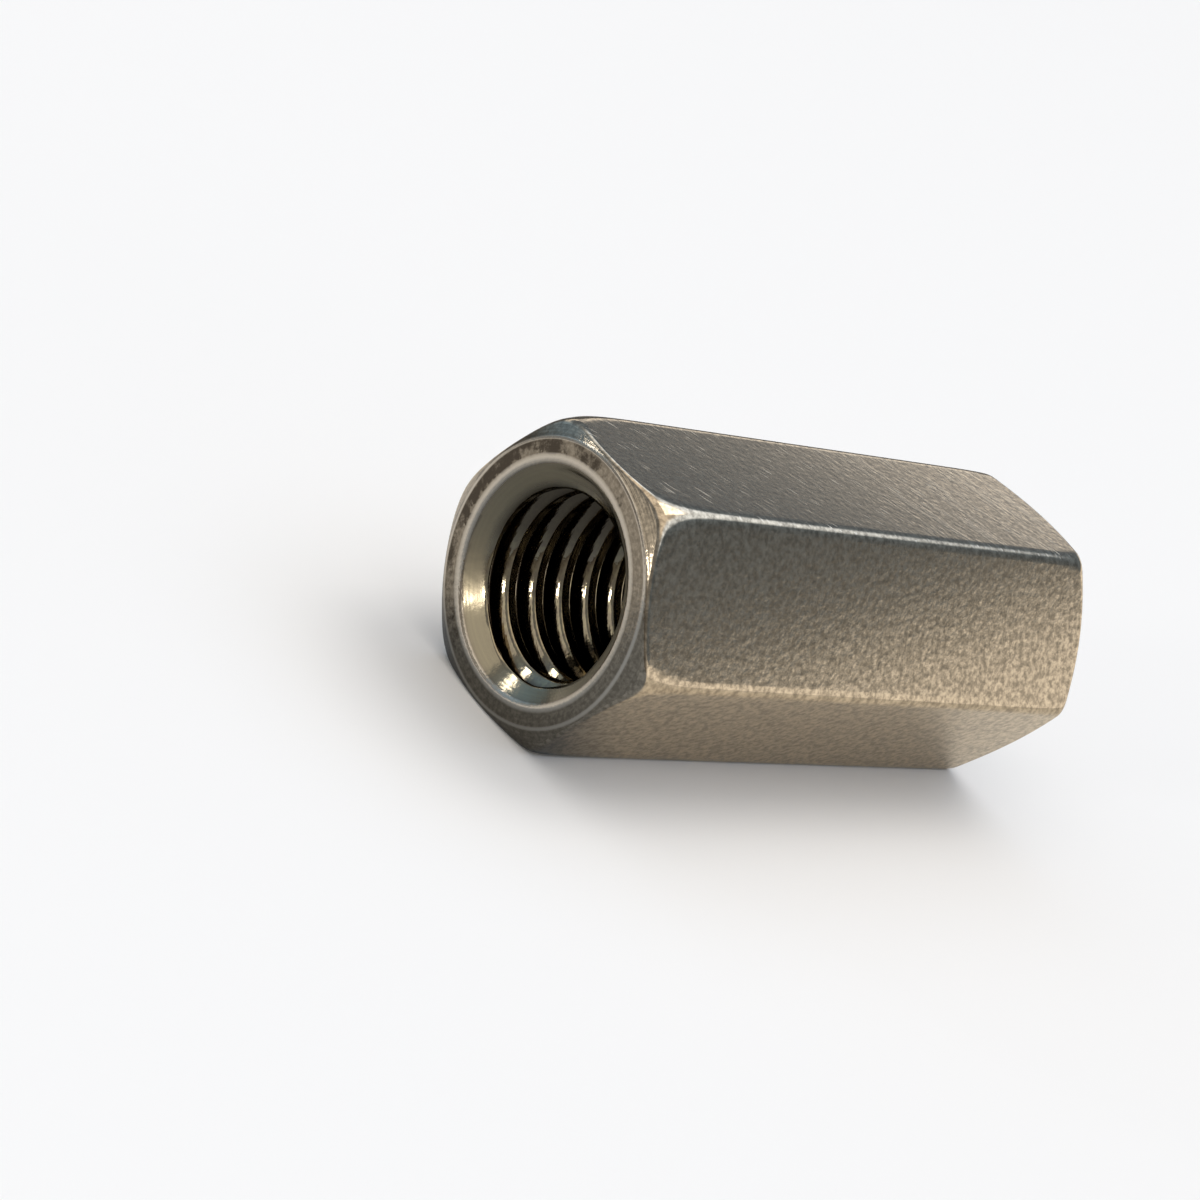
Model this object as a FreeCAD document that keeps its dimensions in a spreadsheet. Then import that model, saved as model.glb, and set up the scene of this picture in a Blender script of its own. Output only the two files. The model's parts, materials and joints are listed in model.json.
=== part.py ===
"""Coupling nut: a long hexagon nut, threaded right through, that joins two threaded rods end to end.

It is cut from cold-drawn hexagon bar, faced and chamfered at both ends, drilled, countersunk and
tapped. Here it lies on one flat. The axis of the thread runs along X, the origin is at the middle
of the flat that it lies on, and Z points up. Lengths are in millimetres and angles in degrees.
"""
import FreeCAD, Part
import math
import os
import Sketcher

NODE = "coupling_nut"

# Driving sizes: each has a cell of its own in the sheet, and every feature below is bound to them
SIZES = [
    ("across_flats", 12.5, "width of the bar from flat to flat"),
    ("body_length", 28.7, "length from end face to end face"),
    ("ridge_radius", 0.5, "rounding of the six long ridges of the bar"),
    ("face_inset", 0.22, "from a flat in to the ring of the end face, where the outer chamfer starts"),
    ("end_chamfer_angle", 28.0, "tilt of the outer chamfer, measured from the end face"),
    ("thread_diameter", 9.525, "outer diameter of the rod, at the roots of the nut's thread"),
    ("thread_pitch", 1.5875, "advance of the thread in one turn, at 16 turns to the inch"),
    ("thread_depth", 0.79, "depth of the thread from the drilled wall to its sharp root"),
    ("thread_angle", 60.0, "angle between the two flanks of the thread"),
    ("thread_start", 1.3, "from the left end face out to where the groove of the thread begins"),
    ("sink_lead", 0.4, "from the root of the thread out to the mouth of the countersink"),
    ("sink_angle", 120.0, "full angle of the countersink's cone"),
    ("cut_margin", 0.15, "how far the outline of the thread reaches into the open bore"),
]

# Sizes that follow from the driving ones, in the sheet's own terms
BORE_DIAMETER = "Sizes.thread_diameter - 2 * Sizes.thread_depth"
RING_RADIUS = "Sizes.across_flats / 2 - Sizes.face_inset"
MOUTH_RADIUS = "Sizes.thread_diameter / 2 + Sizes.sink_lead"
HALF_LENGTH = "Sizes.body_length / 2"
HELIX_START = "Sizes.body_length / 2 + Sizes.thread_start"
HELIX_LENGTH = "Sizes.body_length + 2 * Sizes.thread_start"
ROOT_RADIUS = "Sizes.thread_diameter / 2"
CUT_DEPTH = "Sizes.thread_depth + Sizes.cut_margin"

document = FreeCAD.newDocument("CouplingNut")
sheet = document.addObject("Spreadsheet::Sheet", "Sizes")
for row, (alias, value, meaning) in enumerate(SIZES, start=1):
    sheet.set(f"A{row}", meaning)
    sheet.set(f"B{row}", str(value))
    sheet.setAlias(f"B{row}", alias)
document.recompute()

nut = document.addObject("PartDesign::Body", "CouplingNut")
nut.Label = NODE


def origin_part(role):
    """One of the nut's own planes or axes, by its role."""
    return next(part for part in nut.Origin.OriginFeatures if part.Role == role)


def new_sketch(name, plane_role):
    """An empty sketch on one of the nut's own planes, which all pass through the axis or the middle."""
    sketch = nut.newObject("Sketcher::SketchObject", name)
    sketch.AttachmentSupport = [(origin_part(plane_role), "")]
    sketch.MapMode = "FlatFace"
    return sketch


def point(across, up):
    return FreeCAD.Vector(across, up, 0)


def add_outline(sketch, corners):
    """Straight lines from corner to corner and back to the first, joined at their ends."""
    count = len(corners)
    for index in range(count):
        sketch.addGeometry(Part.LineSegment(corners[index], corners[(index + 1) % count]))
    for index in range(count):
        sketch.addConstraint(Sketcher.Constraint("Coincident", index, 2, (index + 1) % count, 1))


def bind(sketch, constraint, name, expression):
    """Adds a constraint that takes its value from the sheet."""
    index = sketch.addConstraint(constraint)
    sketch.renameConstraint(index, name)
    sketch.setExpression(f"Constraints.{name}", expression)


# The bar: a regular hexagon round the axis, with a flat below and a flat above
flat = sheet.across_flats
corner = flat / math.sqrt(3)
section = new_sketch("BarSection", "YZ_Plane")
turns = [math.radians(60 * index) for index in range(6)]
add_outline(section, [point(corner * math.cos(turn), corner * math.sin(turn)) for turn in turns])
inner_circle = section.addGeometry(Part.Circle(point(0, 0), FreeCAD.Vector(0, 0, 1), flat / 2), True)
section.addConstraint(Sketcher.Constraint("Coincident", inner_circle, 3, -1, 1))
section.addConstraint(Sketcher.Constraint("PointOnObject", 0, 1, -1))
for side in range(6):
    section.addConstraint(Sketcher.Constraint("Tangent", side, inner_circle))
for side in range(1, 5):
    section.addConstraint(Sketcher.Constraint("Equal", 0, side))
bind(section, Sketcher.Constraint("Diameter", inner_circle, flat), "flats", "Sizes.across_flats")

bar = nut.newObject("PartDesign::Pad", "Bar")
bar.Profile = section
bar.SideType = "Symmetric"
bar.setExpression("Length", "Sizes.body_length")
document.recompute()

# The long ridges are slightly rounded, as drawn bar is
ridges = [
    f"Edge{number}"
    for number, edge in enumerate(bar.Shape.Edges, start=1)
    if abs(edge.tangentAt(edge.FirstParameter).x) > 0.99
]
rounding = nut.newObject("PartDesign::Fillet", "RidgeRounding")
rounding.Base = (bar, ridges)
rounding.setExpression("Radius", "Sizes.ridge_radius")

# The tapping drill goes right through. Its circle is drawn as four quarter arcs, so that the crest
# of the thread, which is what the tap leaves of the drilled wall, is made of quarter turns
bore_radius = sheet.thread_diameter / 2 - sheet.thread_depth
drill_circle = new_sketch("DrillCircle", "YZ_Plane")
circle = Part.Circle(point(0, 0), FreeCAD.Vector(0, 0, 1), bore_radius)
quarter = math.radians(90)
for index in range(4):
    drill_circle.addGeometry(Part.ArcOfCircle(circle, index * quarter, (index + 1) * quarter))
    drill_circle.addConstraint(Sketcher.Constraint("Coincident", index, 3, -1, 1))
    own_axis = -1 if index % 2 == 0 else -2
    drill_circle.addConstraint(Sketcher.Constraint("PointOnObject", index, 1, own_axis))
for index in range(3):
    drill_circle.addConstraint(Sketcher.Constraint("Coincident", index, 2, index + 1, 1))
drill_circle.addConstraint(Sketcher.Constraint("PointOnObject", 3, 2, -1))
bind(drill_circle, Sketcher.Constraint("Diameter", 0, 2 * bore_radius), "bore", BORE_DIAMETER)

bore = nut.newObject("PartDesign::Pocket", "Bore")
bore.Profile = drill_circle
bore.SideType = "Symmetric"
bore.Type = "ThroughAll"
bore.Refine = False

# The turned end: a shallow cone takes the six corners down to the ring of the end face
end = sheet.body_length / 2
ring = flat / 2 - sheet.face_inset
tilt = math.radians(sheet.end_chamfer_angle)
chamfer_section = new_sketch("ChamferSection", "XZ_Plane")
chamfer_corners = [point(end, ring), point(end, flat), point(end - (flat - ring) * math.tan(tilt), flat)]
add_outline(chamfer_section, chamfer_corners)
chamfer_section.addConstraint(Sketcher.Constraint("Vertical", 0))
chamfer_section.addConstraint(Sketcher.Constraint("Horizontal", 1))
bind(chamfer_section, Sketcher.Constraint("DistanceX", -1, 1, 0, 1, end), "face", HALF_LENGTH)
bind(chamfer_section, Sketcher.Constraint("DistanceY", -1, 1, 0, 1, ring), "ring", RING_RADIUS)
bind(chamfer_section, Sketcher.Constraint("DistanceY", -1, 1, 1, 1, flat), "reach", "Sizes.across_flats")
bind(chamfer_section, Sketcher.Constraint("Angle", 0, 1, 2, 2, tilt), "tilt", "Sizes.end_chamfer_angle")

chamfer = nut.newObject("PartDesign::Groove", "EndChamfer")
chamfer.Profile = chamfer_section
chamfer.ReferenceAxis = (origin_part("X_Axis"), [""])
chamfer.Angle = 360
chamfer.Refine = False

# The countersink: a wide cone on the same axis, which leads the rod into the thread
mouth = sheet.thread_diameter / 2 + sheet.sink_lead
half_angle = math.radians(sheet.sink_angle / 2)
sink_section = new_sketch("SinkSection", "XZ_Plane")
add_outline(sink_section, [point(end, 0), point(end, mouth), point(end - mouth / math.tan(half_angle), 0)])
sink_section.addConstraint(Sketcher.Constraint("Vertical", 0))
sink_section.addConstraint(Sketcher.Constraint("PointOnObject", 0, 1, -1))
sink_section.addConstraint(Sketcher.Constraint("PointOnObject", 2, 1, -1))
bind(sink_section, Sketcher.Constraint("DistanceX", -1, 1, 0, 1, end), "face", HALF_LENGTH)
bind(sink_section, Sketcher.Constraint("DistanceY", -1, 1, 0, 2, mouth), "mouth", MOUTH_RADIUS)
bind(sink_section, Sketcher.Constraint("Angle", 2, 1, 1, 2, half_angle), "half_angle", "Sizes.sink_angle / 2")

sink = nut.newObject("PartDesign::Groove", "Countersink")
sink.Profile = sink_section
sink.ReferenceAxis = (origin_part("X_Axis"), [""])
sink.Angle = 360
sink.Refine = False

# Both ends are alike
ends = nut.newObject("PartDesign::Mirrored", "OtherEnd")
ends.Originals = [chamfer, sink]
ends.MirrorPlane = (origin_part("YZ_Plane"), [""])
ends.Refine = False
nut.Tip = ends
document.recompute()
untapped_volume = nut.Shape.Volume

# The thread: a V with its point outwards, swept along a right-hand helix from past the left end to
# past the right one. Its base lies in the open bore
flank_angle = math.radians(sheet.thread_angle)
cut_depth = sheet.thread_depth + sheet.cut_margin
half_base = cut_depth * math.tan(flank_angle / 2)
outside = end + sheet.thread_start
root = sheet.thread_diameter / 2
thread_section = new_sketch("ThreadSection", "XZ_Plane")
base = root - cut_depth
add_outline(
    thread_section,
    [point(-outside - half_base, base), point(-outside + half_base, base), point(-outside, root)],
)
thread_section.addConstraint(Sketcher.Constraint("Horizontal", 0))
thread_section.addConstraint(Sketcher.Constraint("Equal", 1, 2))
bind(thread_section, Sketcher.Constraint("DistanceX", 2, 1, -1, 1, outside), "outside", HELIX_START)
bind(thread_section, Sketcher.Constraint("DistanceY", -1, 1, 2, 1, root), "root", ROOT_RADIUS)
bind(thread_section, Sketcher.Constraint("DistanceY", 0, 1, 2, 1, cut_depth), "cut_depth", CUT_DEPTH)
bind(thread_section, Sketcher.Constraint("Angle", 2, 1, 1, 2, flank_angle), "flanks", "Sizes.thread_angle")

thread = nut.newObject("PartDesign::SubtractiveHelix", "Thread")
thread.Profile = thread_section
thread.ReferenceAxis = (origin_part("X_Axis"), [""])
thread.Mode = "pitch-height-angle"
thread.LeftHanded = False
thread.setExpression("Pitch", "Sizes.thread_pitch")
thread.setExpression("Height", HELIX_LENGTH)
thread.Refine = False
nut.Tip = thread

# The nut lies on a flat, half its width below the axis
nut.setExpression("Placement.Base.z", "Sizes.across_flats / 2")
document.recompute()

for item in document.Objects:
    if "Invalid" in item.State or "Error" in item.State:
        raise RuntimeError(f"{item.Label} could not be built: {item.State}")
if nut.Shape.isNull() or not nut.Shape.isValid() or len(nut.Shape.Solids) != 1:
    raise RuntimeError(f"{nut.Label} is not one sound solid")
if nut.Shape.Volume >= untapped_volume:
    raise RuntimeError("the thread took nothing away")

os.makedirs("parts", exist_ok=True)
nut.Shape.exportStep(f"parts/{nut.Label}.step")
print(f"{nut.Label}: {untapped_volume:.1f} mm3 before tapping, {nut.Shape.Volume:.1f} mm3 after")
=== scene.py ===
import json
import math

import bpy
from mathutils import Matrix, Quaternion, Vector


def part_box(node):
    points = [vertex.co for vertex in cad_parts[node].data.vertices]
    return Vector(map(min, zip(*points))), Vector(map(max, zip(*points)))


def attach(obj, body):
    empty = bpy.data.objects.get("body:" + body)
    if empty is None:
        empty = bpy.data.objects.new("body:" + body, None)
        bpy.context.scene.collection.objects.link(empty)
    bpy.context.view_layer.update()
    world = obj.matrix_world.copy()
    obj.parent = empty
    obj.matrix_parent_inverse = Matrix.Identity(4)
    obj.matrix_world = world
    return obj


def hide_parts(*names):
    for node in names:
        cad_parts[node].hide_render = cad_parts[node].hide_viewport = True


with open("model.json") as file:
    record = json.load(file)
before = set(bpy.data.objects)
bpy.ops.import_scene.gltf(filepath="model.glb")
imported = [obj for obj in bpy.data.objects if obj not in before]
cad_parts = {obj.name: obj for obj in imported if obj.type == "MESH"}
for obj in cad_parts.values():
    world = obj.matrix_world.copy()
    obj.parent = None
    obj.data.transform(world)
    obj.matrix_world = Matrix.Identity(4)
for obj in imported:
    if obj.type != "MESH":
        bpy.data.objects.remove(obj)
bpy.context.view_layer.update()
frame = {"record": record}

# The coupling nut
# One piece of stainless steel hexagon bar, cut to length and chamfered on the lathe, then drilled,
# countersunk and tapped right through from end to end, and tumbled until every edge is soft.
NUT = "coupling_nut"
MM = 0.001
THREAD_PITCH = 1.5875 * MM
THREAD_FLANK = math.radians(60)
nut_low, nut_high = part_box(NUT)
rod_end = next(mount for mount in frame["record"]["mounts"] if mount["name"] == "rod_end_right")
nut_sizes = {
    "Half length": nut_high.x,
    "Half width": (nut_high.z - nut_low.z) / 2,
    "Ridge radius": 0.5 * MM,
    "Face inset": 0.22 * MM,
    "End chamfer angle": math.radians(28),
    "Bore radius": rod_end["dims"]["r_mm"] * MM,
    "Thread depth": 0.79 * MM,
    "Thread pitch": THREAD_PITCH,
    "Thread start": 1.3 * MM,
    "Flank slope": math.tan(THREAD_FLANK),
    "Sink lead": 0.4 * MM,
    "Sink angle": math.radians(60),
    "Edge softness": 0.11 * MM,
    "Mouth softness": 0.24 * MM,
    "Corner wear": 3.0 * MM,
    "Far corner wear": 0.8 * MM,
    "Corner wear length": 0.8 * MM,
    "Root flat": THREAD_PITCH / 8,
    "Crest softness": 0.03 * MM,
    "Root softness": 0.03 * MM,
}
COLUMNS = 168
RIDGE_CROWDING = 0.88
ROWS_PER_TURN = 21
EDGE_ROWS = 5
FACE_ROWS = 2
FLAT_ROWS = 40
ROW_CROWDING = 0.9
SEAM_REACH = 0.0008 * MM
CORNER_SOFTNESS = 1.6
RIDGE_WEAR_FALL = 12
MOST_WORN_SIDE = math.radians(60)
WORN_SIDE_SHARE = 0.3


class Amount:
    """A number that a node tree works out, so that the nut's shape is written as plain formulas."""

    def __init__(self, tree, socket):
        self.tree = tree
        self.socket = socket

    def work(self, operation, *others):
        node = self.tree.nodes.new("ShaderNodeMath")
        node.operation = operation
        for slot, item in zip(node.inputs, (self, *others)):
            if isinstance(item, Amount):
                self.tree.links.new(item.socket, slot)
            else:
                slot.default_value = item
        return Amount(self.tree, node.outputs[0])

    def __add__(self, other):
        return self.work("ADD", other)

    def __sub__(self, other):
        return self.work("SUBTRACT", other)

    def __mul__(self, other):
        return self.work("MULTIPLY", other)

    def __truediv__(self, other):
        return self.work("DIVIDE", other)

    def __neg__(self):
        return self.work("MULTIPLY", -1)


def tree_input(tree, name, kind, value=None):
    """Adds a named input to a node tree, and its value unless it has none."""
    socket = tree.interface.new_socket(name, in_out="INPUT", socket_type=kind)
    if value is not None:
        socket.default_value = value
    return socket


nut_tree = bpy.data.node_groups.new("Coupling nut form", "GeometryNodeTree")
nut_tree.is_modifier = True
tree_input(nut_tree, "Geometry", "NodeSocketGeometry")
size_sockets = {
    name: tree_input(nut_tree, name, "NodeSocketFloat", value) for name, value in nut_sizes.items()
}
nut_tree.interface.new_socket("Geometry", in_out="OUTPUT", socket_type="NodeSocketGeometry")
entry = nut_tree.nodes.new("NodeGroupInput")
size = {name: Amount(nut_tree, entry.outputs[name]) for name in nut_sizes}

# Every face of the nut is one strip of a square grid: its columns go once round the axis, from ridge
# to ridge, and its rows go along the outline of the cut-open nut
place = nut_tree.nodes.new("GeometryNodeInputPosition")
axes = nut_tree.nodes.new("ShaderNodeSeparateXYZ")
nut_tree.links.new(place.outputs[0], axes.inputs[0])
way_round = Amount(nut_tree, axes.outputs["X"]) + 0.5
way_along = Amount(nut_tree, axes.outputs["Y"]) + 0.5
even_angle = way_round * math.tau
angle = even_angle - (even_angle * 6).work("SINE") * (RIDGE_CROWDING / 6)

# The bar: flat between the ridges, and a round arc over each ridge. Tumbling has worn the arcs wider
# towards both ends
sextant = math.tau / 6
off_flat = (angle.work("FLOORED_MODULO", sextant) - sextant / 2).work("ABSOLUTE")
off_ridge = -off_flat + sextant / 2
flat_reach = size["Half width"] / off_flat.work("COSINE")
side_wear = (angle - MOST_WORN_SIDE).work("COSINE") * WORN_SIDE_SHARE + 1


def ridge_radius(depth, wear):
    """Radius of a ridge at this distance from an end face with this wear."""
    nearness = (-(depth / size["Corner wear length"])).work("EXPONENT")
    return size["Ridge radius"] + nearness * side_wear * wear


def bar_reach(radius):
    """Distance from the axis to the skin of the bar, where its ridges have this radius."""
    arc_inset = size["Half width"] - radius
    arc_centre = arc_inset * (1 / math.cos(sextant / 2))
    sideways = arc_centre * off_ridge.work("SINE")
    arc_square = (radius * radius - sideways * sideways).work("MAXIMUM", 0)
    arc_reach = arc_centre * off_ridge.work("COSINE") + arc_square.work("SQRT")
    arc_start = (arc_inset * math.tan(sextant / 2) / size["Half width"]).work("ARCTANGENT")
    on_arc = off_flat.work("GREATER_THAN", arc_start)
    return flat_reach + on_arc * (arc_reach - flat_reach)


# Corners of the outline, each as its place along the axis and its distance from it
end = size["Half length"]
root_radius = size["Bore radius"] + size["Thread depth"]
mouth_radius = root_radius + size["Sink lead"]
ring_radius = size["Half width"] - size["Face inset"]
tilt_cos = size["End chamfer angle"].work("COSINE")
tilt_sin = size["End chamfer angle"].work("SINE")
tilt_tan = size["End chamfer angle"].work("TANGENT")
sink_cos = size["Sink angle"].work("COSINE")
sink_sin = size["Sink angle"].work("SINE")
soft = size["Edge softness"]
corner_share = off_flat / (sextant / 2)
soft_rim = soft + soft * corner_share * corner_share * CORNER_SOFTNESS

mouth = (end, mouth_radius)
mouth_soft = size["Mouth softness"]
mouth_inside = (end - mouth_soft * sink_cos, mouth_radius - mouth_soft * sink_sin)
mouth_outside = (end, mouth_radius + mouth_soft)
ring = (end, ring_radius)
ring_inside = (end, ring_radius - soft)
ring_outside = (end - soft * tilt_sin, ring_radius + soft * tilt_cos)
unworn_depth = (bar_reach(size["Ridge radius"]) - ring_radius) * tilt_tan


def rim_corners(wear):
    """Where the chamfer of an end with this wear meets the bar: inside, on and outside their corner."""
    reach = bar_reach(ridge_radius(unworn_depth, wear))
    depth = (reach - ring_radius) * tilt_tan
    skin_start = depth + soft_rim
    return (
        (end - depth + soft_rim * tilt_sin, reach - soft_rim * tilt_cos),
        (end - depth, reach),
        (end - skin_start, bar_reach(ridge_radius(skin_start, wear))),
    )


far_rim = rim_corners(size["Far corner wear"])
near_rim = rim_corners(size["Corner wear"])


def near_end(corner):
    """The corner at the other end of the nut."""
    return (-corner[0], corner[1])


def halfway(first, last):
    """The point midway between two corners."""
    return ((first[0] + last[0]) * 0.5, (first[1] + last[1]) * 0.5)


def finished_strip(rows, along, reach, material, marks):
    """A strip of the nut's skin, with rows of its own, at these places along and out from the axis.

    Its marks are amounts that its material reads, by name."""
    grid = nut_tree.nodes.new("GeometryNodeMeshGrid")
    grid.inputs["Size X"].default_value = 1
    grid.inputs["Size Y"].default_value = 1
    grid.inputs["Vertices X"].default_value = COLUMNS + 1
    if isinstance(rows, Amount):
        nut_tree.links.new((rows + 1).socket, grid.inputs["Vertices Y"])
    else:
        grid.inputs["Vertices Y"].default_value = rows + 1
    marked = grid.outputs["Mesh"]
    for name, amount in marks.items():
        mark = nut_tree.nodes.new("GeometryNodeStoreNamedAttribute")
        mark.data_type = "FLOAT"
        mark.domain = "POINT"
        mark.inputs["Name"].default_value = name
        nut_tree.links.new(marked, mark.inputs["Geometry"])
        nut_tree.links.new(amount.socket, mark.inputs["Value"])
        marked = mark.outputs["Geometry"]
    spot = nut_tree.nodes.new("ShaderNodeCombineXYZ")
    nut_tree.links.new(along.socket, spot.inputs["X"])
    nut_tree.links.new((reach * angle.work("COSINE")).socket, spot.inputs["Y"])
    nut_tree.links.new((reach * angle.work("SINE") + size["Half width"]).socket, spot.inputs["Z"])
    bend = nut_tree.nodes.new("GeometryNodeSetPosition")
    finish = nut_tree.nodes.new("GeometryNodeSetMaterial")
    finish.inputs["Material"].default_value = material
    nut_tree.links.new(marked, bend.inputs["Geometry"])
    nut_tree.links.new(spot.outputs[0], bend.inputs["Position"])
    nut_tree.links.new(bend.outputs["Geometry"], finish.inputs["Geometry"])
    return finish.outputs["Geometry"]


def curved_strip(rows, first, middle, last, material, wear):
    """A strip that bends from the first corner to the last, pulled towards the one between them."""
    rest = -way_along + 1
    at_first, at_middle, at_last = rest * rest, rest * way_along * 2, way_along * way_along
    along, reach = (
        first[axis] * at_first + middle[axis] * at_middle + last[axis] * at_last for axis in (0, 1)
    )
    return finished_strip(rows, along, reach, material, {"edge_wear": wear})


bar_steel = bpy.data.materials.new("Tumbled bar")
turned_steel = bpy.data.materials.new("Turned end")
tapped_steel = bpy.data.materials.new("Tapped bore")
for steel in (bar_steel, turned_steel, tapped_steel):
    steel.use_nodes = True

on_edge = way_along * (-way_along + 1) * 4
no_edge = way_along * 0
eased_along = way_along - (way_along * math.tau).work("SINE") * (ROW_CROWDING / math.tau)

# The two end faces and the corners round them, each from the mouth of the bore out to the bar
mid_face = halfway(mouth_outside, ring_inside)


def end_strips(rim):
    """Rows, three corners, steel and edge wear of each strip of an end whose bar starts at this rim."""
    return [
        (EDGE_ROWS, (mouth_inside, mouth, mouth_outside), turned_steel, on_edge),
        (FACE_ROWS, (mouth_outside, mid_face, ring_inside), turned_steel, no_edge),
        (EDGE_ROWS, (ring_inside, ring, ring_outside), turned_steel, on_edge),
        (FACE_ROWS, (ring_outside, halfway(ring_outside, rim[0]), rim[0]), turned_steel, no_edge),
        (EDGE_ROWS, rim, bar_steel, on_edge),
    ]


skin = [curved_strip(rows, *corners, steel, wear) for rows, corners, steel, wear in end_strips(far_rim)]
for rows, corners, steel, wear in reversed(end_strips(near_rim)):
    inward_corners = [near_end(corner) for corner in reversed(corners)]
    skin.append(curved_strip(rows, *inward_corners, steel, wear))

# The six flats and their ridges, in one strip from end to end
along_bar = far_rim[2][0] - (far_rim[2][0] + near_rim[2][0]) * eased_along
at_near_end = along_bar.work("LESS_THAN", 0)
wear_here = size["Far corner wear"] + at_near_end * (size["Corner wear"] - size["Far corner wear"])
bar_wall = bar_reach(ridge_radius(end - along_bar.work("ABSOLUTE"), wear_here))
ridge_wear = (off_flat * 2 / sextant).work("POWER", RIDGE_WEAR_FALL)
skin.append(finished_strip(FLAT_ROWS, along_bar, bar_wall, bar_steel, {"edge_wear": ridge_wear}))

# The bore: rows that follow the helix from end to end, held back where they would pass a mouth. The
# drilled wall is the crest of the thread, and a countersink opens each end of it
START_TURN = 0.25
turn = angle / math.tau
bore_end = mouth_inside[0]
row_step = size["Thread pitch"] / ROWS_PER_TURN
bore_rows = ((bore_end * 2 + size["Thread pitch"]) / row_step).work("CEIL")
on_helix = way_along * bore_rows * row_step - bore_end - size["Thread pitch"] + turn * size["Thread pitch"]
along_bore = on_helix.work("MAXIMUM", -bore_end).work("MINIMUM", bore_end)
past_start = along_bore + end + size["Thread start"] - (turn - START_TURN) * size["Thread pitch"]
whole_turns = (past_start / size["Thread pitch"]).work("ROUND")
off_root = past_start - whole_turns * size["Thread pitch"]
past_root_flat = off_root.work("ABSOLUTE") - size["Root flat"] * 0.5
flank_run = past_root_flat.work("SMOOTH_MAX", 0, size["Root softness"])
groove = root_radius - flank_run * size["Flank slope"]
thread_wall = groove.work("SMOOTH_MAX", size["Bore radius"], size["Crest softness"])
sink_wall = mouth_radius - (end - along_bore.work("ABSOLUTE")) * size["Sink angle"].work("TANGENT")
bore_wall = thread_wall.work("SMOOTH_MAX", sink_wall, size["Crest softness"])
on_cone = ((sink_wall - size["Bore radius"]) / size["Sink lead"]).work("MAXIMUM", 0).work("MINIMUM", 1)
root_share = (bore_wall - size["Bore radius"]) / size["Thread depth"]
bore_marks = {"root_share": root_share, "on_cone": on_cone}
skin.append(finished_strip(bore_rows, along_bore, bore_wall, tapped_steel, bore_marks))

# The strips joined into one closed skin that faces outwards
whole_skin = nut_tree.nodes.new("GeometryNodeJoinGeometry")
for strip in skin:
    nut_tree.links.new(strip, whole_skin.inputs[0])
closed_skin = nut_tree.nodes.new("GeometryNodeMergeByDistance")
closed_skin.inputs["Distance"].default_value = SEAM_REACH
outward_skin = nut_tree.nodes.new("GeometryNodeFlipFaces")
smooth_skin = nut_tree.nodes.new("GeometryNodeSetShadeSmooth")
real_skin = nut_tree.nodes.new("GeometryNodeRealizeInstances")
leave = nut_tree.nodes.new("NodeGroupOutput")
nut_tree.links.new(whole_skin.outputs[0], closed_skin.inputs["Geometry"])
nut_tree.links.new(closed_skin.outputs["Geometry"], outward_skin.inputs["Mesh"])
nut_tree.links.new(outward_skin.outputs["Mesh"], smooth_skin.inputs["Geometry"])
nut_tree.links.new(smooth_skin.outputs["Geometry"], real_skin.inputs["Geometry"])
nut_tree.links.new(real_skin.outputs["Geometry"], leave.inputs[0])

blank = bpy.data.objects.new("nut_blank", bpy.data.meshes.new("nut_blank"))
bpy.context.scene.collection.objects.link(blank)
shaping = blank.modifiers.new("Form", "NODES")
shaping.node_group = nut_tree
for name, socket in size_sockets.items():
    shaping[socket.identifier] = nut_sizes[name]
bpy.context.view_layer.update()
finished = blank.evaluated_get(bpy.context.evaluated_depsgraph_get())
nut_mesh = bpy.data.meshes.new_from_object(finished)
blank.modifiers.remove(shaping)
bpy.data.objects.remove(blank)
nut_mesh.name = "hexagon_nut"
nut = bpy.data.objects.new("hexagon_nut", nut_mesh)
bpy.context.scene.collection.objects.link(nut)


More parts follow.
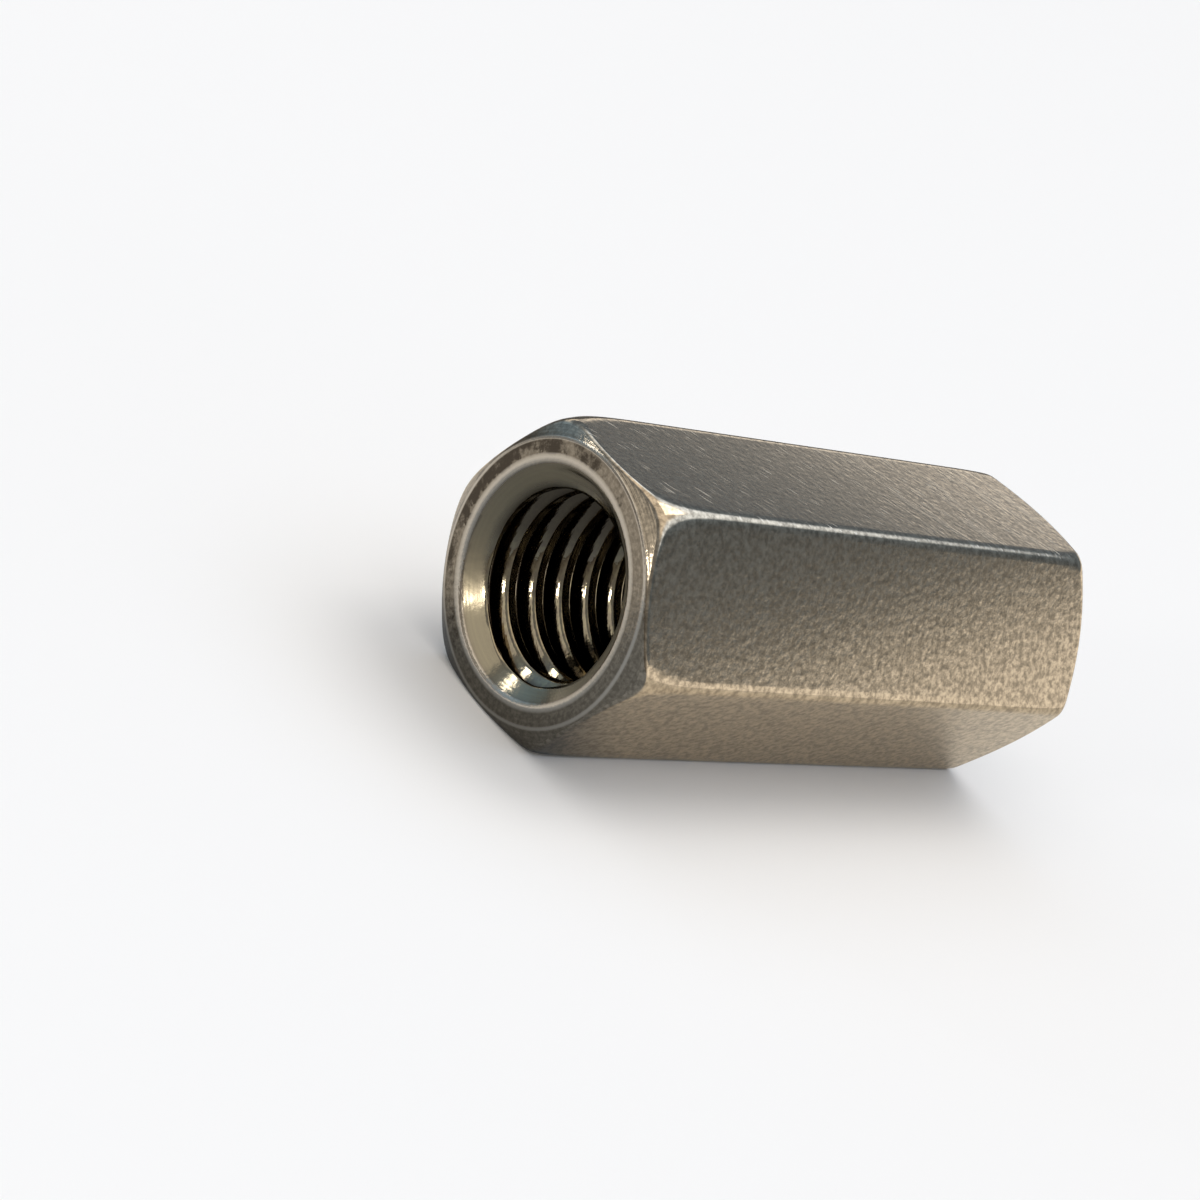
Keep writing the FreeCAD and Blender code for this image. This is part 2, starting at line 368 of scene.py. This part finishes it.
class Recipe:
    """Nodes of a material or of a shader group, written one after another."""

    def __init__(self, tree):
        self.tree = tree

    def node(self, kind, settings=None, **links):
        """A new node with these settings; each link feeds the input of that name, with spaces for _."""
        made = self.tree.nodes.new(kind)
        for name, value in (settings or {}).items():
            if hasattr(made, name):
                setattr(made, name, value)
            else:
                made.inputs[name].default_value = value
        for name, source in links.items():
            self.feed(source, made.inputs[name.replace("_", " ")])
        return made

    def feed(self, source, target):
        """Gives an input this value, or the output that this is."""
        if isinstance(source, bpy.types.NodeSocket):
            self.tree.links.new(source, target)
        else:
            target.default_value = source

    def work(self, operation, *items):
        made = self.tree.nodes.new("ShaderNodeMath")
        made.operation = operation
        for item, slot in zip(items, made.inputs):
            self.feed(item, slot)
        return made.outputs[0]

    def blend(self, share, low, high):
        """From low to high as the share goes from 0 to 1."""
        made = self.tree.nodes.new("ShaderNodeMapRange")
        self.feed(share, made.inputs["Value"])
        self.feed(low, made.inputs["To Min"])
        self.feed(high, made.inputs["To Max"])
        return made.outputs["Result"]

    def step(self, value, low, high):
        """0 below low and 1 above high, with an eased step between them."""
        made = self.tree.nodes.new("ShaderNodeMapRange")
        made.interpolation_type = "SMOOTHSTEP"
        self.feed(value, made.inputs["Value"])
        self.feed(low, made.inputs["From Min"])
        self.feed(high, made.inputs["From Max"])
        return made.outputs["Result"]

    def colour(self, share, low, high):
        """From the low colour to the high one as the share goes from 0 to 1."""
        made = self.tree.nodes.new("ShaderNodeMix")
        made.data_type = "RGBA"
        self.feed(share, made.inputs["Factor"])
        for slot, item in ((made.inputs[6], low), (made.inputs[7], high)):
            self.feed(item, slot)
        return made.outputs[2]

    def place(self):
        return self.node("ShaderNodeTexCoord").outputs["Object"]

    def sides(self):
        """The place's X, Y and Z, by name."""
        return self.node("ShaderNodeSeparateXYZ", Vector=self.place()).outputs

    def effect(self, tree, values=None):
        """Outputs of a shared effect, made with these values."""
        return self.node("ShaderNodeGroup", {"node_tree": tree, **(values or {})}).outputs

    def mark(self, name):
        """The amount that the nut's form has stored under this name."""
        return self.node("ShaderNodeAttribute", {"attribute_name": name}).outputs["Fac"]

    def bump(self, depth, height, strength=1.0):
        """Normals of a surface whose heights from 0 to 1 stand for this depth."""
        return self.node("ShaderNodeBump", {"Distance": depth}, Height=height, Strength=strength).outputs[0]


def new_effect(name, inputs, outputs):
    """An empty shader group with these inputs and their values, and these number outputs."""
    tree = bpy.data.node_groups.new(name, "ShaderNodeTree")
    for item, value in inputs.items():
        tree_input(tree, item, "NodeSocketFloat", value)
    for item in outputs:
        tree.interface.new_socket(item, in_out="OUTPUT", socket_type="NodeSocketFloat")
    recipe = Recipe(tree)
    return tree, recipe, tree.nodes.new("NodeGroupInput").outputs, tree.nodes.new("NodeGroupOutput").inputs


# The grain that tumbling leaves: fine dimples, and a patchy dullness between them
PATCHES_PER_DIMPLE = 1.05
PATCH_BORDER = (0.31, 0.69)
grain_tree, grain, given, result = new_effect(
    "Tumbled grain", {"Dimples per metre": 3500.0}, ("Height", "Patches")
)
spot = grain.place()
dimple_settings = {"Detail": 2.0, "Roughness": 0.5}
dimples = grain.node("ShaderNodeTexNoise", dimple_settings, Vector=spot, Scale=given[0])
patch_scale = grain.work("MULTIPLY", given[0], PATCHES_PER_DIMPLE)
patch_settings = {"Detail": 4.0, "Roughness": 0.62}
patches = grain.node("ShaderNodeTexNoise", patch_settings, Vector=spot, Scale=patch_scale)
grain.feed(dimples.outputs[0], result["Height"])
grain.feed(grain.step(patches.outputs[0], *PATCH_BORDER), result["Patches"])

# Rings that the lathe leaves, which follow the distance from the axis on a face and the place along
# it on a wall
ring_sizes = {"Rings per metre": 9000.0, "Axis height": nut_sizes["Half width"]}
ring_tree, rings, given, result = new_effect("Lathe rings", ring_sizes, ("Height", "Distance"))
sides = rings.sides()
rise = rings.work("SUBTRACT", sides["Z"], given["Axis height"])
sideways_square = rings.work("MULTIPLY", sides["Y"], sides["Y"])
distance = rings.work("SQRT", rings.work("MULTIPLY_ADD", rise, rise, sideways_square))
ring_place = rings.work("MULTIPLY", rings.work("ADD", distance, sides["X"]), given["Rings per metre"])
ring_settings = {"noise_dimensions": "1D", "Detail": 3.0, "Scale": 1.0}
ring_line = rings.node("ShaderNodeTexNoise", ring_settings, W=ring_place)
rings.feed(ring_line.outputs[0], result["Height"])
rings.feed(distance, result["Distance"])

# Straight marks left where the nut was dragged or knocked: long one way and fine across
RAREST_MARK = 0.9
MARK_BORDER = 0.12
mark_tree, marks, given, result = new_effect(
    "Drag marks",
    {"Turn": 0.0, "Across per metre": 3000.0, "Along per metre": 260.0, "Amount": 0.5},
    ("Marks",),
)
turned = marks.node(
    "ShaderNodeVectorRotate", {"rotation_type": "Z_AXIS"}, Vector=marks.place(), Angle=given["Turn"]
)
across, along = given["Across per metre"], given["Along per metre"]
stretch = marks.node("ShaderNodeCombineXYZ", X=across, Y=along, Z=across)
stretched = marks.node("ShaderNodeVectorMath", {"operation": "MULTIPLY"})
marks.feed(turned.outputs[0], stretched.inputs[0])
marks.feed(stretch.outputs[0], stretched.inputs[1])
mark_lines = marks.node("ShaderNodeTexNoise", {"Detail": 2.0, "Scale": 1.0}, Vector=stretched.outputs[0])
lowest = marks.work("SUBTRACT", RAREST_MARK, given["Amount"])
highest = marks.work("ADD", lowest, MARK_BORDER)
marks.feed(marks.step(mark_lines.outputs[0], lowest, highest), result["Marks"])


def finish_steel(steel, colour, roughness, normal):
    """Gives bare steel this colour, roughness and surface."""
    shader = steel.node_tree.nodes["Principled BSDF"]
    shader.inputs["Metallic"].default_value = 1
    for name, source in (("Base Color", colour), ("Roughness", roughness), ("Normal", normal)):
        steel.node_tree.links.new(source, shader.inputs[name])


# The bar: worn smooth and bright along its ridges, dimpled and patchy on its flats. The top flat has
# short fine cuts all over, and broad drag marks on its far half
STEEL = (0.6, 0.495, 0.36, 1)
DULL_STEEL = (0.27, 0.222, 0.16, 1)
BRIGHT_STEEL = (0.78, 0.68, 0.54, 1)
TOP_FLAT = (12.3 * MM, 12.45 * MM)
DRAGGED_PART = (-2 * MM, 6 * MM)
DRAG_DEPTH = 0.3
DRAG_SHINE = 0.3
CUT_SHINE = 0.8
FLAT_ROUGHNESS = (0.15, 0.1)
CUT_ROUGHNESS = 0.3
RIDGE_POLISH = 0.02
RIDGE_DIMPLES = 0.3
BAR_DIMPLE_DEPTH = 0.0035 * MM
DRAG_FORM = {"Turn": math.radians(-23.6), "Along per metre": 450.0, "Amount": 0.4}
CUT_FORM = {
    "Turn": math.radians(-35),
    "Across per metre": 6000.0,
    "Along per metre": 800.0,
    "Amount": 0.29,
}
bar = Recipe(bar_steel.node_tree)
bar_grain = bar.effect(grain_tree)
patch_share = bar_grain["Patches"]
bar_sides = bar.sides()
on_top = bar.step(bar_sides["Z"], *TOP_FLAT)
dragged_part = bar.work("MULTIPLY", bar.step(bar_sides["X"], *DRAGGED_PART), on_top)
drag_share = bar.work("MULTIPLY", bar.effect(mark_tree, DRAG_FORM)["Marks"], dragged_part)
cut_share = bar.work("MULTIPLY", bar.effect(mark_tree, CUT_FORM)["Marks"], on_top)
speckled_bar = bar.colour(patch_share, DULL_STEEL, STEEL)
dragged_bar = bar.colour(bar.work("MULTIPLY", drag_share, DRAG_SHINE), speckled_bar, BRIGHT_STEEL)
bar_colour = bar.colour(bar.work("MULTIPLY", cut_share, CUT_SHINE), dragged_bar, BRIGHT_STEEL)
bar_height = bar.work("ADD", bar_grain["Height"], bar.work("MULTIPLY", drag_share, DRAG_DEPTH))
worn_share = bar.mark("edge_wear")
bar_surface = bar.bump(BAR_DIMPLE_DEPTH, bar_height, bar.blend(worn_share, 1.0, RIDGE_DIMPLES))
flat_roughness = bar.blend(cut_share, bar.blend(patch_share, *FLAT_ROUGHNESS), CUT_ROUGHNESS)
bar_roughness = bar.work("SUBTRACT", flat_roughness, bar.work("MULTIPLY", worn_share, RIDGE_POLISH))
finish_steel(bar_steel, bar_colour, bar_roughness, bar_surface)

# The turned end: ring and chamfer, with dark blots on one side of the ring: real grime and painted
# reflection
# A dark colour: grime on the ring, kept dark enough to be painted reflection there, and painted shade in
# the bore
DARK_GRIME_AND_SHADE = (0.1, 0.078, 0.055, 1)
GRIME_AND_SHADE_WAY = (0.94, 0.34)
GRIME_AND_SHADE_REACH = 45.0
GRIME_AND_SHADE_BORDER = (0.55, 0.75)
BLOT_SPREAD = 1.6 * MM
PAST_MOUTH = (5.35 * MM, 5.5 * MM)
BEFORE_CHAMFER = (6.25 * MM, 5.95 * MM)
END_ROUGHNESS = (0.14, 0.26)
TURNED_DEPTH = 0.008 * MM
turned_end = Recipe(turned_steel.node_tree)
turned_grain = turned_end.effect(grain_tree, {"Dimples per metre": 5200.0})
turned_rings = turned_end.effect(ring_tree)
end_sides = turned_end.sides()
blot_settings = {"Scale": 900.0, "Detail": 5.0, "Roughness": 0.75}
blots = turned_end.node("ShaderNodeTexNoise", blot_settings, Vector=turned_end.place()).outputs[0]
end_lift = turned_end.work("SUBTRACT", end_sides["Z"], nut_sizes["Half width"])
end_way = turned_end.work(
    "ADD",
    turned_end.work("MULTIPLY", end_sides["Y"], GRIME_AND_SHADE_WAY[0]),
    turned_end.work("MULTIPLY", end_lift, GRIME_AND_SHADE_WAY[1]),
)
end_place = turned_end.work("MULTIPLY_ADD", end_way, GRIME_AND_SHADE_REACH, blots)
blot_shift = turned_end.work("MULTIPLY", turned_end.work("SUBTRACT", blots, 0.5), BLOT_SPREAD)
uneven_distance = turned_end.work("ADD", turned_rings["Distance"], blot_shift)
past_mouth = turned_end.step(uneven_distance, *PAST_MOUTH)
on_ring = turned_end.work("MULTIPLY", past_mouth, turned_end.step(uneven_distance, *BEFORE_CHAMFER))
# Real grime and painted reflection: dark blots towards +Y and the top of the ring also stand in for a dark
# reflection
grime_and_shade_share = turned_end.work("MULTIPLY", turned_end.step(end_place, *GRIME_AND_SHADE_BORDER), on_ring)
ringed_steel = turned_end.colour(turned_rings["Height"], DULL_STEEL, STEEL)
speckled_steel = turned_end.colour(turned_grain["Patches"], DULL_STEEL, ringed_steel)
grimy_and_shaded_steel = turned_end.colour(grime_and_shade_share, speckled_steel, DARK_GRIME_AND_SHADE)
end_colour = turned_end.colour(turned_end.mark("edge_wear"), grimy_and_shaded_steel, BRIGHT_STEEL)
turned_height = turned_end.work("ADD", turned_grain["Height"], turned_rings["Height"])
end_roughness = turned_end.blend(grime_and_shade_share, *END_ROUGHNESS)
finish_steel(turned_steel, end_colour, end_roughness, turned_end.bump(TURNED_DEPTH, turned_height))

# The bore: a ringed cone at each end, and between them smooth cut flanks with painted shade in their roots
# The flanks are also darkened in a band over the upper half of the bore: painted dark reflection
CUT_STEEL = (0.37, 0.315, 0.2, 1)
ROOT_SHADE = (0.3, 0.75)
SHADE_BAND_FROM_BELOW = (4.8 * MM, 6.5 * MM)
SHADE_BAND_FROM_ABOVE = (10.8 * MM, 9.2 * MM)
WALL_SHADE = 0.8
CONE_LIFT = (2.3 * MM, 4.3 * MM)
CONE_ROUGHNESS = (0.13, 0.42)
FLANK_ROUGHNESS = 0.08
TAPPED_DEPTH = 0.006 * MM
tapped = Recipe(tapped_steel.node_tree)
tapped_grain = tapped.effect(grain_tree, {"Dimples per metre": 3000.0})
tapped_rings = tapped.effect(ring_tree)
cone_share = tapped.mark("on_cone")
bore_lift = tapped.sides()["Z"]
# The band of painted dark reflection, by height in the bore
shaded_height = tapped.work(
    "MULTIPLY", tapped.step(bore_lift, *SHADE_BAND_FROM_BELOW), tapped.step(bore_lift, *SHADE_BAND_FROM_ABOVE)
)
wall_shade = tapped.work("MULTIPLY", shaded_height, WALL_SHADE)
# Painted shade in the thread roots and painted dark reflection in the upper band, in the dark grime colour
painted_shade_share = tapped.work("MAXIMUM", tapped.step(tapped.mark("root_share"), *ROOT_SHADE), wall_shade)
patchy_steel = tapped.colour(tapped_grain["Patches"], DULL_STEEL, CUT_STEEL)
shaded_flank_steel = tapped.colour(painted_shade_share, patchy_steel, DARK_GRIME_AND_SHADE)
cone_steel = tapped.colour(tapped_rings["Height"], DULL_STEEL, CUT_STEEL)
bore_colour = tapped.colour(cone_share, shaded_flank_steel, cone_steel)
cone_roughness = tapped.blend(tapped.step(bore_lift, *CONE_LIFT), *CONE_ROUGHNESS)
bore_roughness = tapped.blend(cone_share, FLANK_ROUGHNESS, cone_roughness)
tapped_height = tapped.work("ADD", tapped_grain["Height"], tapped_rings["Height"])
finish_steel(tapped_steel, bore_colour, bore_roughness, tapped.bump(TAPPED_DEPTH, tapped_height))

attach(nut, "root")
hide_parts(NUT)

# The floor
# A plain pale table top that the nut lies on. What the steel mirrors of it is warm, darker at the
# left, and dim far behind.
FLOOR_HALF = 4.0
PAPER = (0.93, 0.922, 0.908, 1)
MIRRORED_PAPER = (0.88, 0.83, 0.74, 1)
MIRRORED_LEFT = (0.27, 0.3, 0.34, 1)
MIRRORED_LEFT_BACK = (0.6, 0.6, 0.6, 1)
MIRRORED_FAR = (0.15, 0.15, 0.15, 1)
LEFT_PART = (-8 * MM, -14 * MM)
BACK_PART = (4 * MM, 12 * MM)
FAR_PART = (30 * MM, 70 * MM)
floor_mesh = bpy.data.meshes.new("floor")
corner_signs = ((-1, -1), (1, -1), (1, 1), (-1, 1))
floor_corners = [(x * FLOOR_HALF, y * FLOOR_HALF, 0) for x, y in corner_signs]
floor_mesh.from_pydata(floor_corners, [], [(0, 1, 2, 3)])
floor = bpy.data.objects.new("floor", floor_mesh)
bpy.context.scene.collection.objects.link(floor)
paper = bpy.data.materials.new("Pale table")
paper.use_nodes = True
paper_shader = paper.node_tree.nodes["Principled BSDF"]
paper_shader.inputs["Roughness"].default_value = 0.9
paper_shader.inputs["Specular IOR Level"].default_value = 0.1
table = Recipe(paper.node_tree)
table_sides = table.sides()
left_paper = table.colour(table.step(table_sides["Y"], *BACK_PART), MIRRORED_LEFT, MIRRORED_LEFT_BACK)
near_paper = table.colour(table.step(table_sides["X"], *LEFT_PART), MIRRORED_PAPER, left_paper)
mirrored_paper = table.colour(table.step(table_sides["Y"], *FAR_PART), near_paper, MIRRORED_FAR)
mirrored = table.node("ShaderNodeLightPath").outputs["Is Glossy Ray"]
table.feed(table.colour(mirrored, PAPER, mirrored_paper), paper_shader.inputs["Base Color"])
floor_mesh.materials.append(paper)

# The light
# A plain soft studio: a bright sweep low behind the nut with a darker wall above it, a cool side, a
# soft ceiling, one broad lamp overhead, and a window and two small lamps at the left for the glints.
world = bpy.data.worlds.new("Studio")
world.use_nodes = True
bpy.context.scene.world = world
sky = Recipe(world.node_tree)
ways = sky.node("ShaderNodeSeparateXYZ", Vector=sky.node("ShaderNodeTexCoord").outputs["Generated"]).outputs

# Each side of the room as colours at their heights above the floor, in degrees
SWEEP_SIDE = (
    (0, (1.3, 1.25, 1.18)),
    (16.1, (1.3, 1.25, 1.18)),
    (17.8, (0.15, 0.18, 0.22)),
    (35, (0.2, 0.26, 0.34)),
    (42, (1.45, 1.68, 2.05)),
    (50, (1.6, 1.85, 2.25)),
    (60, (1.2, 1.12, 1.02)),
)
NEAR_SIDE = (
    (0, (0.12, 0.11, 0.1)),
    (5, (0.2, 0.19, 0.18)),
    (12, (0.3, 0.3, 0.3)),
    (42, (0.3, 0.32, 0.35)),
    (54, (1.2, 1.12, 1.02)),
)
COOL_SIDE = (
    (0, (0.24, 0.3, 0.36)),
    (10, (0.3, 0.45, 0.64)),
    (30, (0.3, 0.36, 0.44)),
    (42, (1.3, 1.4, 1.5)),
    (54, (1.2, 1.12, 1.02)),
)

# The sweep's dark foot, and where one side of the room passes into the next, as parts of a direction
# one unit long
SWEEP_FOOT = (0.12, 0.12, 0.12, 1)
FOOT_HEIGHT = (0.25, 0.17)
FOOT_WAY = (0.3, 0.5)
FAR_WAY = (-0.3, 0.3)
COOL_WAY = (0.5, 0.8)
SWEEP_SLOPE = -0.012
sloping_height = sky.work("MULTIPLY_ADD", ways["Y"], SWEEP_SLOPE, ways["Z"])


def room_side(stops):
    """A side of the room, with these colours at their heights."""
    ramp = sky.node("ShaderNodeValToRGB", Fac=sloping_height)
    elements = ramp.color_ramp.elements
    for extra in stops[2:]:
        elements.new(1.0)
    for element, (lift, colour) in zip(elements, stops):
        element.position = math.sin(math.radians(lift))
        element.color = (*colour, 1)
    return ramp.outputs["Color"]


foot_share = sky.work("MULTIPLY", sky.step(ways["Z"], *FOOT_HEIGHT), sky.step(ways["Y"], *FOOT_WAY))
sweep = sky.colour(foot_share, room_side(SWEEP_SIDE), SWEEP_FOOT)
near_room = sky.colour(sky.step(ways["Y"], *COOL_WAY), room_side(NEAR_SIDE), room_side(COOL_SIDE))
room = sky.colour(sky.step(ways["X"], *FAR_WAY), near_room, sweep)
sky.feed(room, world.node_tree.nodes["Background"].inputs["Color"])


def towards(azimuth, elevation):
    """Direction from the nut, in degrees: azimuth 0 is towards -Y and 90 towards +X."""
    side, lift = math.radians(azimuth), math.radians(elevation)
    return Vector((math.sin(side) * math.cos(lift), -math.cos(side) * math.cos(lift), math.sin(lift)))


nut_middle = Vector((0, 0, nut_high.z / 2))


def add_lamp(name, way, distance, width, height, radiance, colour):
    """A soft lamp that faces the nut; its radiance is what a mirror would show of it."""
    lamp = bpy.data.lights.new(name, "AREA")
    lamp.shape = "RECTANGLE"
    lamp.size = width
    lamp.size_y = height
    lamp.energy = radiance * math.pi * width * height
    lamp.color = colour
    holder = bpy.data.objects.new(name, lamp)
    holder.location = nut_middle + way * distance
    holder.rotation_mode = "QUATERNION"
    holder.rotation_quaternion = way.to_track_quat("Z", "Y")
    bpy.context.scene.collection.objects.link(holder)


WARM = (1, 0.96, 0.91)
PALE = (1, 0.98, 0.95)
WHITE = (1, 1, 1)
add_lamp("key_lamp", towards(95, 66), 1.0, width=0.48, height=0.4, radiance=2.4, colour=WARM)
add_lamp("left_window", towards(-104, 20), 0.5, width=0.38, height=0.14, radiance=0.65, colour=PALE)
add_lamp("left_lamp", towards(-83.5, 14.5), 0.4, width=0.05, height=0.012, radiance=62, colour=PALE)
add_lamp("left_back_lamp", towards(-140, 17.7), 0.4, width=0.035, height=0.035, radiance=9, colour=WHITE)

# The camera
# Above and to the left of the nut's near end, and turned about its own axis, as in the photograph.
CAMERA_AZIMUTH = -49.099
CAMERA_ELEVATION = 22.781
CAMERA_ROLL = 28.985
CAMERA_DISTANCE = 130.646 * MM
CAMERA_AIM = Vector((-5.589, 4.300, 2.895)) * MM
CAMERA_LENS = 88.03
SENSOR_WIDTH = 36
camera_data = bpy.data.cameras.new("photo_camera")
camera_data.lens = CAMERA_LENS
camera_data.sensor_width = SENSOR_WIDTH
camera_data.clip_start = 0.01
camera_data.clip_end = 20
camera = bpy.data.objects.new("photo_camera", camera_data)
back = towards(CAMERA_AZIMUTH, CAMERA_ELEVATION)
camera.location = CAMERA_AIM + back * CAMERA_DISTANCE
camera.rotation_mode = "QUATERNION"
level = (-back).to_track_quat("-Z", "Y")
camera.rotation_quaternion = level @ Quaternion((0, 0, 1), math.radians(CAMERA_ROLL))
bpy.context.scene.collection.objects.link(camera)
bpy.context.scene.camera = camera
bpy.context.scene.view_settings.view_transform = "Standard"
